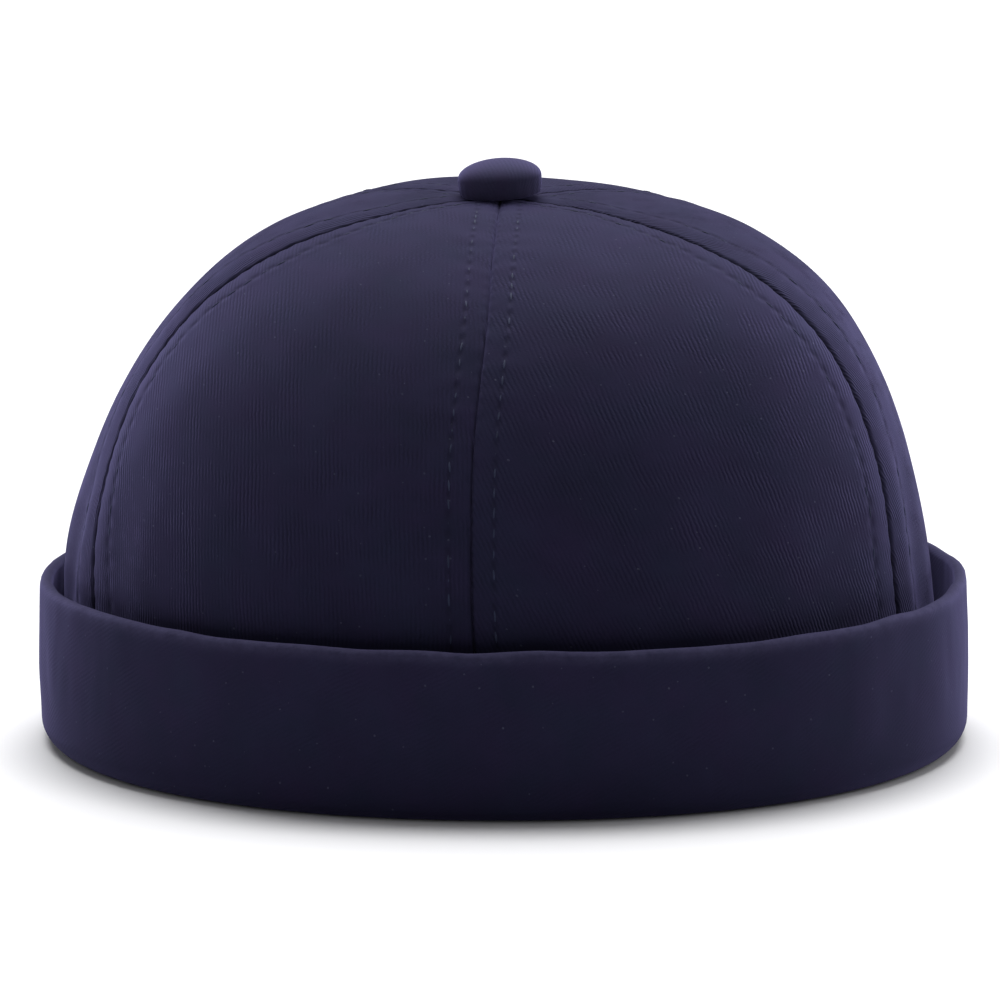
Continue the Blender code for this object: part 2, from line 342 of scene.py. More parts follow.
def build_twill():
    group, given, result = new_group(
        "twill weave",
        [
            ("Cloth Place", "NodeSocketVector", None),
            ("Cloth Colour", "NodeSocketColor", (0.02, 0.02, 0.04, 1.0)),
            ("Lint", "NodeSocketFloat", 1.0),
            ("Blotches", "NodeSocketFloat", 1.0),
            ("Ribs", "NodeSocketFloat", 1.0),
        ],
        [("Colour", "NodeSocketColor"), ("Height", "NodeSocketFloat")],
    )
    place = given["Cloth Place"]
    split = add_node(group, "ShaderNodeSeparateXYZ")
    group.links.new(place, split.inputs[0])
    across, along = split.outputs["X"], split.outputs["Y"]

    yarn = noise_at(group, place, YARN_SCALE)
    yarn = maths(group, "MULTIPLY_ADD", yarn, YARN_STRAY, -YARN_STRAY / 2.0)
    drift = noise_at(group, place, DRIFT_SCALE)
    drift = maths(group, "MULTIPLY_ADD", drift, DRIFT_STRAY, -DRIFT_STRAY / 2.0)
    bent = maths(group, "ADD", maths(group, "ADD", across, yarn), drift)
    count = maths(group, "DIVIDE", bent, RIB_PITCH)
    wave = maths(group, "SINE", maths(group, "MULTIPLY", count, math.tau))
    rib = maths(group, "POWER", maths(group, "MULTIPLY_ADD", wave, 0.5, 0.5), RIB_ROUNDNESS)

    stagger = maths(group, "MULTIPLY", maths(group, "FLOOR", count), FLOAT_STAGGER)
    length = maths(group, "MULTIPLY", along, math.tau / FLOAT_LENGTH)
    floats = maths(group, "SINE", maths(group, "ADD", length, stagger))
    crown = maths(group, "MULTIPLY_ADD", floats, FLOAT_DIP, 1.0 - FLOAT_DIP)
    rope = maths(group, "MULTIPLY", rib, crown)

    nap = noise_at(group, place, NAP_SCALE, 3.0, 0.65)
    patch = noise_at(group, place, HIDDEN_SCALE, 3.0, 0.6)
    shown = add_node(group, "ShaderNodeMapRange", clamp=True)
    group.links.new(patch, shown.inputs["Value"])
    shown.inputs["From Min"].default_value = HIDDEN_FROM
    shown.inputs["From Max"].default_value = HIDDEN_TO
    shown.inputs["To Min"].default_value = HIDDEN_RIBS
    level = maths(group, "SUBTRACT", rope, 0.5)
    level = maths(group, "MULTIPLY", level, given["Ribs"])
    woven = maths(group, "MULTIPLY_ADD", level, shown.outputs[0], 0.5)
    height = maths(group, "MULTIPLY_ADD", nap, NAP_HEIGHT, woven)
    group.links.new(height, result["Height"])

    blotch = noise_at(group, place, BLOTCH_SCALE, 4.0, 0.62)
    shade = maths(group, "MULTIPLY_ADD", blotch, BLOTCH_SHADE, -BLOTCH_SHADE / 2.0)
    shade = maths(group, "MULTIPLY", shade, given["Blotches"])
    # Painted shade: the furrows between the ribs are darker than their tops
    furrow = maths(group, "MULTIPLY_ADD", woven, RIB_SHADE, 1.0 - RIB_SHADE / 2.0)
    fleck = maths(group, "MULTIPLY_ADD", nap, NAP_SHADE, -NAP_SHADE / 2.0)
    tone = maths(group, "ADD", maths(group, "ADD", furrow, shade), fleck)
    grey = add_node(group, "ShaderNodeCombineColor")
    for socket in grey.inputs[:3]:
        group.links.new(tone, socket)
    dye = noise_at(group, place, DYE_SCALE, 2.0, 0.6)
    tint = mixed(group, dye, RED_TINT, GREEN_TINT)
    dyed = mixed(group, 1.0, given["Cloth Colour"], tint, "MULTIPLY")
    toned = mixed(group, 1.0, dyed, grey.outputs[0], "MULTIPLY")

    cells = add_node(group, "ShaderNodeTexVoronoi", voronoi_dimensions="2D")
    group.links.new(place, cells.inputs["Vector"])
    cells.inputs["Scale"].default_value = LINT_CELLS
    pick = add_node(group, "ShaderNodeSeparateColor")
    group.links.new(cells.outputs["Color"], pick.inputs[0])
    chosen = maths(group, "GREATER_THAN", pick.outputs[0], CLEAN_CELLS)
    size = maths(group, "MULTIPLY_ADD", pick.outputs[1], LINT_SIZE_RANGE, LINT_SIZE)
    close = maths(group, "LESS_THAN", cells.outputs["Distance"], size)
    speck = maths(group, "MULTIPLY", maths(group, "MULTIPLY", chosen, close), given["Lint"])
    speck = maths(group, "MULTIPLY", speck, maths(group, "MULTIPLY_ADD", nap, 1.2, -0.2))
    group.links.new(mixed(group, speck, toned, LINT_COLOUR), result["Colour"])
    return group


twill = build_twill()
print("twill group:", len(twill.nodes), "nodes")

# %% [markdown]
# ## Puckers along a stitched row
# A lockstitch pulls the cloth down at each hole, so a row of topstitching lies in a shallow
# furrow with a small dimple for each stitch. The seam map gives the distance from the seam and
# the length along it, so one group can draw these dimples wherever a row runs. Besides their
# height, the group puts out masks of painted shade for the dimples and for the seam's crease.

# %% The pucker group
STITCH_ROW = 0.0046
STITCH_PITCH = 0.0039
CREASE_SHADE = 0.00030
DIMPLE_WIDTH = 0.0006


def build_puckers():
    group, given, result = new_group(
        "stitch puckers",
        [("Seam Place", "NodeSocketVector", None)],
        [
            ("Height", "NodeSocketFloat"),
            ("Shade", "NodeSocketFloat"),
            ("Painted Crease Shade", "NodeSocketFloat"),
        ],
    )
    split = add_node(group, "ShaderNodeSeparateXYZ")
    group.links.new(given["Seam Place"], split.inputs[0])
    # Painted shade mask for the seam's crease, strongest on the seam line
    near = maths(group, "DIVIDE", split.outputs["X"], CREASE_SHADE)
    fall = maths(group, "MULTIPLY", maths(group, "MULTIPLY", near, near), -1.0)
    group.links.new(maths(group, "EXPONENT", fall), result["Painted Crease Shade"])
    away = maths(group, "SUBTRACT", split.outputs["X"], STITCH_ROW)
    spread = maths(group, "DIVIDE", away, DIMPLE_WIDTH)
    square = maths(group, "MULTIPLY", spread, spread)
    bell = maths(group, "EXPONENT", maths(group, "MULTIPLY", square, -1.0))
    turns = maths(group, "MULTIPLY", split.outputs["Y"], math.tau / STITCH_PITCH)
    beat = maths(group, "COSINE", turns)
    dimple = maths(group, "MULTIPLY", bell, maths(group, "MULTIPLY_ADD", beat, -0.4, 0.5))
    group.links.new(maths(group, "MULTIPLY", dimple, -1.0), result["Height"])
    # The dimples' depth also serves as a mask of painted shade
    group.links.new(dimple, result["Shade"])
    return group


puckers = build_puckers()

# %% [markdown]
# ## The cloth materials
# Crown, cuff and button are cut from one navy twill, but their grain runs in different
# directions. A Mapping node turns the ribs on the cuff and the button, and the crown's maps
# already hold the lean of each gore's ribs. Sheen stands for the brushed nap, whose fibres catch
# light at grazing angles. The button's navy is a lighter copy, painted light for its lit top, and
# the cuff's top fold gets a painted highlight. The seams' creases and the stitch rows' dimples are
# darkened with painted shade, because little light reaches the bottom of such a narrow fold.


# %% Cloth materials
NAVY = (0.0148, 0.0138, 0.0345, 1.0)
# A lighter copy of NAVY for the button: painted light for its lit top
BUTTON_PAINTED_LIGHT_NAVY = (0.0340, 0.0300, 0.0640, 1.0)
# Painted highlight along the cuff's top fold, where light catches it: colour and width
PAINTED_HIGHLIGHT_NAVY = (0.056, 0.052, 0.104, 1.0)
PAINTED_HIGHLIGHT_WIDTH = 0.0017
SHEEN = 0.22
SHEEN_ROUGHNESS = 0.42
SHEEN_TINT = (0.44, 0.40, 0.92, 1.0)
CLOTH_ROUGHNESS = 0.92
CLOTH_SPECULAR = 0.05
PUCKER_DEPTH = 0.00022
# Painted shade for the stitch rows' dimples and the seams' creases: strengths and colour
PUCKER_PAINTED_SHADE = 0.30
CREASE_PAINTED_SHADE = 0.8
PAINTED_SHADE_NAVY = (0.003, 0.003, 0.006, 1.0)


def twill_material(
    name, rib_turn, relief, colour=NAVY, sheen=SHEEN,
    ribs=1.0, blotches=1.0, lint=1.0, puckers_and_shade=False, highlight_at=0.0,
):
    """A Principled cloth whose ribs lean rib_turn degrees left of the map's up direction.

    Round one length of the map, given last, where a fold's edge lies, a painted highlight makes the
    colour lighter."""
    material = bpy.data.materials.new(name)
    material.use_nodes = True
    tree = material.node_tree
    shader = tree.nodes["Principled BSDF"]
    shader.inputs["Roughness"].default_value = CLOTH_ROUGHNESS
    shader.inputs["Specular IOR Level"].default_value = CLOTH_SPECULAR
    shader.inputs["Sheen Weight"].default_value = sheen
    shader.inputs["Sheen Roughness"].default_value = SHEEN_ROUGHNESS
    shader.inputs["Sheen Tint"].default_value = SHEEN_TINT

    cloth_map = add_node(tree, "ShaderNodeUVMap", uv_map="cloth")
    turned = add_node(tree, "ShaderNodeMapping")
    turned.inputs["Rotation"].default_value = (0.0, 0.0, -math.radians(rib_turn))
    tree.links.new(cloth_map.outputs[0], turned.inputs["Vector"])
    weave = add_node(tree, "ShaderNodeGroup", node_tree=twill)
    tree.links.new(turned.outputs[0], weave.inputs["Cloth Place"])
    weave.inputs["Cloth Colour"].default_value = colour
    weave.inputs["Lint"].default_value = lint
    weave.inputs["Blotches"].default_value = blotches
    weave.inputs["Ribs"].default_value = ribs
    colour_out = weave.outputs["Colour"]
    # Painted highlight: a lighter navy round one length of the map, broken up by noise
    if highlight_at:
        where = add_node(tree, "ShaderNodeSeparateXYZ")
        tree.links.new(cloth_map.outputs[0], where.inputs[0])
        away = maths(tree, "SUBTRACT", where.outputs["Y"], highlight_at)
        away = maths(tree, "DIVIDE", away, PAINTED_HIGHLIGHT_WIDTH)
        square = maths(tree, "MULTIPLY", away, away)
        painted_highlight = maths(tree, "EXPONENT", maths(tree, "MULTIPLY", square, -1.0))
        painted_highlight = maths(tree, "MULTIPLY", painted_highlight, noise_at(tree, cloth_map.outputs[0], 420.0, 3.0, 0.7))
        colour_out = mixed(tree, painted_highlight, colour_out, PAINTED_HIGHLIGHT_NAVY)

    bump = add_node(tree, "ShaderNodeBump")
    bump.inputs["Strength"].default_value = 1.0
    bump.inputs["Distance"].default_value = relief
    tree.links.new(weave.outputs["Height"], bump.inputs["Height"])
    if puckers_and_shade:
        seam_map = add_node(tree, "ShaderNodeUVMap", uv_map="seam")
        sewn = add_node(tree, "ShaderNodeGroup", node_tree=puckers)
        tree.links.new(seam_map.outputs[0], sewn.inputs["Seam Place"])
        pulled = add_node(tree, "ShaderNodeBump")
        pulled.inputs["Strength"].default_value = 1.0
        pulled.inputs["Distance"].default_value = PUCKER_DEPTH
        tree.links.new(sewn.outputs["Height"], pulled.inputs["Height"])
        tree.links.new(pulled.outputs[0], bump.inputs["Normal"])
        # Painted shade: the dimples and the crease are darkened towards a near-black navy
        painted_dimple_shade = maths(tree, "MULTIPLY", sewn.outputs["Shade"], PUCKER_PAINTED_SHADE)
        painted_crease_shade = maths(tree, "MULTIPLY", sewn.outputs["Painted Crease Shade"], CREASE_PAINTED_SHADE)
        painted_shade = maths(tree, "MAXIMUM", painted_dimple_shade, painted_crease_shade)
        colour_out = mixed(tree, painted_shade, colour_out, PAINTED_SHADE_NAVY)
    tree.links.new(colour_out, shader.inputs["Base Color"])
    tree.links.new(bump.outputs[0], shader.inputs["Normal"])
    return material


crown_cloth = twill_material("crown_cloth", 0.0, 0.00011, puckers_and_shade=True)
# The cuff's top fold gets a painted highlight
cuff_cloth = twill_material("cuff_cloth", -62.0, 0.00006, ribs=0.38, blotches=0.6, highlight_at=0.0352)
# The button's lighter navy is painted light
button_cloth = twill_material(
    "button_cloth", 14.0, 0.00007, BUTTON_PAINTED_LIGHT_NAVY, 0.42, ribs=0.55, blotches=0.4, lint=0.0
)

# %% [markdown]
# ## The panels
# Each gore is one net. Its columns are packed near the seams, where the cloth rolls down into
# the crease, lies double over the seam allowance and dips at the row of stitches. The rows are
# spaced evenly along the gore. The cloth map of the side and back gores is nearly the flat cut,
# slanted by the ribs' lean. The two front gores are mapped by their width and height instead, so
# that their ribs look straight from the front, as they do on the real cap.

# %% Sizes of the seams
PANEL_COLUMNS = 96
PANEL_ROWS = 176
EDGE_SHARE = 0.24
EDGE_ZONE = 0.0105
VISIBLE_GAP = 0.00008
CREASE_DEPTH = 0.0005
CREASE_WIDTH = 0.00030
EDGE_PACKING = 1.35
EDGE_LIMIT = 0.3
ALLOWANCE_RISE = 0.00016
ALLOWANCE_END = 0.0066
FURROW_DEPTH = 0.00009
FURROW_WIDTH = 0.0007
SEAM_WAVE = 0.00005
SEAM_WAVE_LENGTH = 0.0093
SEAM_WAVE_DRIFT = 0.041
SEAM_WAVE_MIDDLE = 0.0042
SEAM_WAVE_REACH = 0.0080
GATHER_DEPTH = 0.00008
GATHER_REACH = 0.0014
GATHER_DRIFT = 0.027

# Distance of the topstitching from the seams with wider allowances, where the gores are widest
WIDE_ROW = 0.0100
WIDE_SEAMS = ("side_right", "front_left")
NARROW_GORE = 0.018
WIDE_GORE = 0.070

# How far the ribs lean left, in degrees: from upright as seen from the front on the front gores,
# and from the gore's middle line on the others
FRONT_LEANS = {"front_left": 1.0, "front_right": 26.5}
PLAIN_LEAN = 18.0


def stitch_row(seam, width):
    """Distance of the topstitching from a seam, where the gore has this width."""
    widest = WIDE_ROW if seam[0] in WIDE_SEAMS else STITCH_ROW
    return STITCH_ROW + (widest - STITCH_ROW) * smooth_step(width, NARROW_GORE, WIDE_GORE)


def panel_sides(panel, rise):
    """Azimuths of the panel's two seams at each rise."""
    seam, following, lap = panel[1:]
    bent = smooth_hump(2.0 * rise - 1.0)
    return seam[1] + seam[2] * bent, following[1] + following[2] * bent + lap


def even_rises(panel):
    """Rises and lengths along the gore's middle, to space its rows evenly."""
    nearest = min(CROWN_HALF_WIDTH, CROWN_HALF_DEPTH - BUTTON_SETBACK)
    tip = ((SHANK_RADIUS + GAP) / nearest) ** (SHOULDER_FULLNESS / 2.0)
    rises = np.linspace(0.0, math.acos(tip) / (math.pi / 2.0), 800)
    start, end = panel_sides(panel, rises)
    line = crown_skin((start + end) / 2.0, rises)
    steps = np.linalg.norm(np.diff(line, axis=0), axis=1)
    return rises, np.concatenate([[0.0], np.cumsum(steps)])


def seam_relief(away, along, width):
    """Height of the cloth over the plain skin; the stitches lie where away is STITCH_ROW."""
    crease = -CREASE_DEPTH * np.exp(-((away / CREASE_WIDTH) ** 2))
    crease *= 0.3 + 0.7 * smooth_step(width, 0.010, 0.024)
    doubled = smooth_step(away, 0.0002, 0.0030)
    doubled *= 1.0 - smooth_step(away, ALLOWANCE_END - 0.0020, ALLOWANCE_END)
    furrow = np.exp(-(((away - STITCH_ROW) / FURROW_WIDTH) ** 2))
    furrow *= smooth_step(width, 0.0085, 0.0120)
    sway = 1.7 * np.sin(along * math.tau / SEAM_WAVE_DRIFT)
    wave = np.sin(along * math.tau / SEAM_WAVE_LENGTH + sway)
    wave *= smooth_hump((away - SEAM_WAVE_MIDDLE) / SEAM_WAVE_REACH)
    sway = 2.0 * np.sin(along * math.tau / GATHER_DRIFT)
    gather = np.cos(along * math.tau / STITCH_PITCH + sway)
    gather *= np.exp(-((away / GATHER_REACH) ** 2))
    level = crease + ALLOWANCE_RISE * doubled - FURROW_DEPTH * furrow
    return level + SEAM_WAVE * wave + GATHER_DEPTH * gather


def rib_place(name, base, offset, along):
    """Distance across the ribs, from the skin's points and the offset from the middle line."""
    if name not in FRONT_LEANS:
        return offset + along * math.tan(math.radians(PLAIN_LEAN))
    lean = math.radians(FRONT_LEANS[name])
    round_the_side = np.arcsin(np.clip(base[:, 0] / CROWN_HALF_WIDTH, -1.0, 1.0))
    return CROWN_HALF_WIDTH * round_the_side * math.cos(lean) + base[:, 2] * math.sin(lean)


def panel_spot(panel, across, rise, along):
    """Point of a panel's outside, and its distance to the nearest seam.

    The distance is scaled so that it is STITCH_ROW at the topstitching of every seam."""
    start, end = panel_sides(panel, rise)
    radius = ring_radius((start + end) / 2.0, rise)
    width = np.radians(end - start) * radius
    margin = np.degrees(VISIBLE_GAP / 2.0 / radius)
    azimuth = start + margin + across * (end - start - 2.0 * margin)
    base = crown_skin(azimuth, rise)
    row = np.where(across < 0.5, stitch_row(panel[1], width), stitch_row(panel[2], width))
    away = np.minimum(across, 1.0 - across) * width * STITCH_ROW / row
    puff = PANEL_PUFF * np.sqrt(np.clip(4.0 * across * (1.0 - across), 0.0, 1.0))
    puff *= np.sqrt(np.clip(np.sin(np.pi * rise), 0.0, 1.0))
    relief = puff - fold_depth(azimuth, base[:, 2] / CROWN_HEIGHT)
    relief += seam_relief(away, along, width) + soft_waves(base)
    return base, crown_normal(azimuth, rise), relief, away, width


SLOW_WAVE_SCALE = 28.0
SLOW_WAVE_DEPTH = 0.00055
QUICK_WAVE_SCALE = 75.0
QUICK_WAVE_DEPTH = 0.00022


def soft_waves(points):
    """Slow unevenness of sewn cloth, as metres of height."""
    heights = np.empty(len(points))
    for number, (x, y, z) in enumerate(points):
        slow = noise.noise(Vector((x, y, z * 0.7)) * SLOW_WAVE_SCALE)
        quick = noise.noise(Vector((x + 0.3, y, z * 0.5)) * QUICK_WAVE_SCALE)
        heights[number] = slow * SLOW_WAVE_DEPTH + quick * QUICK_WAVE_DEPTH
    return heights


def row_width(panel, rise):
    """Width of the gore at each rise."""
    start, end = panel_sides(panel, rise)
    return np.radians(end - start) * ring_radius((start + end) / 2.0, rise)


def panel_across(column, width):
    """Share of the width at a column, with the edge columns packed near the seams."""
    edge = np.minimum(EDGE_ZONE / width, EDGE_LIMIT)
    inside = (column - EDGE_SHARE) / (1.0 - 2.0 * EDGE_SHARE)
    middle = edge + inside * (1.0 - 2.0 * edge)
    left = edge * np.clip(column / EDGE_SHARE, 0.0, 1.0) ** EDGE_PACKING
    right = 1.0 - edge * np.clip((1.0 - column) / EDGE_SHARE, 0.0, 1.0) ** EDGE_PACKING
    return np.where(column < EDGE_SHARE, left, np.where(column > 1.0 - EDGE_SHARE, right, middle))


# %% Make the six panels
def make_panel(panel):
    name = panel[0]
    rises, lengths = even_rises(panel)
    inner = []

    def place(column, row):
        along = row * lengths[-1]
        rise = np.interp(along, lengths, rises)
        across = panel_across(column, row_width(panel, rise))
        base, normal, relief, away, width = panel_spot(panel, across, rise, along)
        inner.append(base - normal * CROWN_CLOTH)
        ribs = rib_place(name, base, (across - 0.5) * width, along)
        cloth = np.stack([ribs, along], axis=-1)
        seam = np.stack([away, along], axis=-1)
        return base + normal * relief[:, None], {"cloth": cloth, "seam": seam}

    net, points = shaped_grid(PANEL_COLUMNS, PANEL_ROWS, place)
    close_shell(net, points, inner[0])
    piece = finished("panel_" + name, net, crown_cloth, 70.0)
    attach(piece, "root")
    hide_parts("crown_panel_" + name)


def close_shell(net, points, inner):
    """Copies the sheet to its inner side, turns the copy over and joins the rims."""
    outer_faces = list(net.faces)
    rim = [edge for edge in net.edges if edge.is_boundary]
    copy = bmesh.ops.duplicate(net, geom=list(net.verts) + list(net.edges) + outer_faces)
    twin = copy["vert_map"]
    for point, spot in zip(points, inner):
        twin[point].co = spot
    new_faces = [face for face in copy["geom"] if isinstance(face, bmesh.types.BMFace)]
    bmesh.ops.reverse_faces(net, faces=new_faces)
    pairs = copy["edge_map"]
    bmesh.ops.bridge_loops(net, edges=rim + [pairs[edge] for edge in rim])


panels = []
for number, seam in enumerate(SEAMS):
    following = SEAMS[(number + 1) % len(SEAMS)]
    panels.append((seam[0], seam, following, 0.0 if following[1] > seam[1] else 360.0))
for panel in panels:
    make_panel(panel)

# %% [markdown]
# ## The topstitching
# Two rows of thread hold down the seam allowances, one on each side of every seam. A stitch is
# a short fat thread with both ends pulled into the cloth, so a stretched ball whose ends bend
# down is enough. Hundreds of them are joined in one mesh for each seam.

# %% Thread material
STITCH_LENGTH = 0.0028
STITCH_WIDTH = 0.00036
STITCH_HEIGHT = 0.00030
STITCH_LOOK_AHEAD = 0.0004
FIRST_SEED = 40
THREAD_DARK = (0.012, 0.015, 0.034, 1.0)
THREAD_LIGHT = (0.030, 0.038, 0.078, 1.0)
THREAD_SHEEN_TINT = (0.48, 0.50, 0.90, 1.0)
UNEVEN_SCALE = 420.0
STRAND_SCALE = 5200.0
STRAND_DEPTH = 0.00006


def thread_material():
    material = bpy.data.materials.new("topstitch_thread")
    material.use_nodes = True
    tree = material.node_tree
    shader = tree.nodes["Principled BSDF"]
    shader.inputs["Roughness"].default_value = 0.75
    shader.inputs["Specular IOR Level"].default_value = 0.15
    shader.inputs["Sheen Weight"].default_value = 0.10
    shader.inputs["Sheen Tint"].default_value = THREAD_SHEEN_TINT
    where = add_node(tree, "ShaderNodeTexCoord")
    uneven = noise_at(tree, where.outputs["Object"], UNEVEN_SCALE, 2.0)
    strands = noise_at(tree, where.outputs["Object"], STRAND_SCALE, 1.0)
    light = maths(tree, "MULTIPLY_ADD", uneven, 1.6, -0.3)
    colour = mixed(tree, light, THREAD_DARK, THREAD_LIGHT)
    tree.links.new(colour, shader.inputs["Base Color"])
    bump = add_node(tree, "ShaderNodeBump")
    bump.inputs["Distance"].default_value = STRAND_DEPTH
    tree.links.new(strands, bump.inputs["Height"])
    tree.links.new(bump.outputs[0], shader.inputs["Normal"])
    return material


thread = thread_material()


# %% Sew the rows
def row_frames(panel, side):
    """Place, direction and normal of each stitch on one side of a panel."""
    rises, lengths = even_rises(panel)
    seam = panel[1] if side == "start" else panel[2]
    steps = np.arange(5, lengths[-1] / STITCH_PITCH - 1.0) * STITCH_PITCH

    def spot(along):
        rise = np.interp(along, lengths, rises)
        width = row_width(panel, rise)
        share = np.clip(stitch_row(seam, width) / width, 0.0, 0.5)
        across = share if side == "start" else 1.0 - share
        base, normal, relief, away, wide = panel_spot(panel, across, rise, along)
        return base + normal * relief[:, None], normal, wide

    here, normal, width = spot(steps)
    ahead = spot(steps + STITCH_LOOK_AHEAD)[0]
    forward = ahead - here
    forward /= np.linalg.norm(forward, axis=1, keepdims=True)
    kept = width > 2.05 * stitch_row(seam, width)
    return here[kept], forward[kept], normal[kept]


def add_stitch(net, place, forward, normal, chance):
    """One stitch: a stretched ball with its ends bent down into the cloth."""
    side = Vector(normal).cross(Vector(forward)).normalized()
    forward = Vector(forward) + side * chance.uniform(-0.10, 0.10)
    forward.normalize()
    up = forward.cross(side).normalized() * -1.0
    up = up if up.dot(Vector(normal)) > 0 else -up
    ball = bmesh.ops.create_uvsphere(net, u_segments=8, v_segments=6, radius=0.5)["verts"]
    length = STITCH_LENGTH * chance.uniform(0.85, 1.05)
    sunk = STITCH_HEIGHT * chance.uniform(0.1, 0.95)
    for point in ball:
        x, y, z = point.co.z, point.co.x, point.co.y
        bend = z * STITCH_HEIGHT + STITCH_HEIGHT * (0.30 - 1.9 * x * x) - sunk
        offset = forward * (x * length) + side * (y * STITCH_WIDTH) + up * bend
        point.co = Vector(place) + offset


def sew_seam(number):
    """Both rows of one seam, on the panels that meet there."""
    chance = np.random.default_rng(FIRST_SEED + number)
    net = bmesh.new()
    for panel, side in ((panels[number], "start"), (panels[number - 1], "end")):
        for place, forward, normal in zip(*row_frames(panel, side)):
            add_stitch(net, place, forward, normal, chance)
    bmesh.ops.recalc_face_normals(net, faces=net.faces)
    row = finished("topstitch_" + panels[number][0], net, thread, 80.0)
    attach(row, "root")


for number in range(len(panels)):
    sew_seam(number)

# %% [markdown]
# ## The cuff
# The band is folded double and turned up, so its section is a long loop: up the outside, over a
# soft top fold, down the inside and out again under the crown's edge. The section is worked out
# once from the cuff's sizes and carried round the oval, with slow waves in the standing wall.

# %% The cuff's section
CUFF_COLUMNS = 420
TOP_FOLD = 0.0013
SLOW_BOW = 0.0009
DRAG_BOW = 0.00022
FINE_BOW = 0.00008
EDGE_RISE = 0.00040
EDGE_QUICK_SHARE = 0.08


def arc(middle, radius, first, last, count):
    """Points of an arc; angles in degrees from straight out, positive upwards."""
    turns = np.radians(np.linspace(first, last, count, endpoint=False))
    return [(middle[0] + radius * math.cos(t), middle[1] + radius * math.sin(t)) for t in turns]


def straight(start, end, count):
    shares = np.linspace(0.0, 1.0, count, endpoint=False)
    return [(start[0] + s * (end[0] - start[0]), start[1] + s * (end[1] - start[1])) for s in shares]


def cuff_section():
    """Outset from the crown's foot line, and height, once round the section."""
    half = CUFF_CLOTH / 2.0
    wall = CUFF_STANDOFF + half
    fold = (wall - CUFF_FOLD_RADIUS, half + CUFF_FOLD_RADIUS)
    top = (wall, CUFF_HEIGHT - TOP_FOLD)
    low_wall = (fold[0] + CUFF_FOLD_RADIUS + half, fold[1])
    inner_wall = (fold[0] + CUFF_FOLD_RADIUS - half, fold[1])
    web = (-CUFF_WEB_REACH + half, half)
    points = arc(fold, CUFF_FOLD_RADIUS + half, -90.0, 0.0, 10)
    points += straight(low_wall, (top[0] + TOP_FOLD, top[1]), 26)
    points += arc(top, TOP_FOLD, 0.0, 180.0, 12)
    points += straight((top[0] - TOP_FOLD, top[1]), inner_wall, 14)
    points += arc(fold, CUFF_FOLD_RADIUS - half, 0.0, -90.0, 4)
    points += straight((fold[0], CUFF_CLOTH), (web[0], CUFF_CLOTH), 3)
    points += arc(web, half, 90.0, 270.0, 6)
    points += straight((web[0], 0.0), (fold[0], 0.0), 3)
    return np.array(points + points[:1])


def cuff_waves(azimuth, height):
    """How far the standing wall bows out, and how far its top edge rises."""
    turn = np.radians(azimuth)
    out = np.empty(len(azimuth))
    rise = np.empty(len(azimuth))
    for number, (angle, level) in enumerate(zip(turn, height)):
        ring = Vector((math.sin(angle), math.cos(angle), 0.0))
        slow = noise.noise(ring * 3.1 + Vector((0.0, 0.0, level * 14.0)))
        slant = ring * 9.0 + Vector((0.0, 0.0, level * 60.0 + angle * 2.2))
        drag = noise.noise(slant)
        fine = noise.noise(ring * 30.0 + Vector((2.0, 5.0, level * 90.0)))
        out[number] = slow * SLOW_BOW + drag * DRAG_BOW + fine * FINE_BOW
        rise[number] = noise.noise(ring * 7.0 + Vector((4.0, 1.0, 0.0)))
        rise[number] += EDGE_QUICK_SHARE * noise.noise(ring * 22.0 + Vector((1.0, 7.0, 0.0)))
    return out, rise * EDGE_RISE


def make_cuff():
    section = cuff_section()
    rows = len(section) - 1
    steps = np.linalg.norm(np.diff(section, axis=0), axis=1)
    lengths = np.concatenate([[0.0], np.cumsum(steps)])
    girth = math.pi * (CROWN_HALF_WIDTH + CROWN_HALF_DEPTH)

    def place(column, row):
        station = np.rint(row * rows).astype(int)
        outset, height = section[station, 0], section[station, 1]
        azimuth = column * 360.0 - 180.0
        turn = np.radians(azimuth)
        stand = smooth_step(height, 0.004, 0.016)
        out, rise = cuff_waves(azimuth, height)
        belly = CUFF_BELLY * np.sin(np.pi * np.clip(height / CUFF_HEIGHT, 0.0, 1.0))
        outset = outset + belly + out * stand
        lift = rise * smooth_step(height, 0.020, 0.032)
        lift -= CUFF_BACK_RISE * np.cos(turn) * (height / CUFF_HEIGHT) ** 2
        across, along = plan_direction(azimuth)
        x = (CROWN_HALF_WIDTH + outset) * across
        y = (CROWN_HALF_DEPTH + outset) * along
        cloth = np.stack([column * girth, lengths[station]], axis=-1)
        return np.stack([x, y, height + lift], axis=-1), {"cloth": cloth}

    net, points = shaped_grid(CUFF_COLUMNS, rows, place)
    bmesh.ops.remove_doubles(net, verts=net.verts, dist=0.00001)
    piece = finished("turned_up_cuff", net, cuff_cloth, 80.0)
    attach(piece, "root")
    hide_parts("cuff")


make_cuff()

# %% [markdown]
# ## The covered button
# A disc of the same twill is stretched over a shallow shell and tucked in below. The profile is
# spun round, small pleats gather towards the underside, and the map runs outwards from the
# middle, as the cloth does when it is pulled over a button.

# %% Make the button
BUTTON_RADIUS = 0.0084
BUTTON_HEIGHT = 0.0070
BUTTON_TUCK = 0.0007
BUTTON_WAIST_SHARE = 0.50
BUTTON_FULLNESS = 2.0
BUTTON_ROLL = -4.0
BUTTON_STEPS = 120
PLEATS = 26
PLEAT_DEPTH = 0.00005
EDGE_SWAY = 0.00012


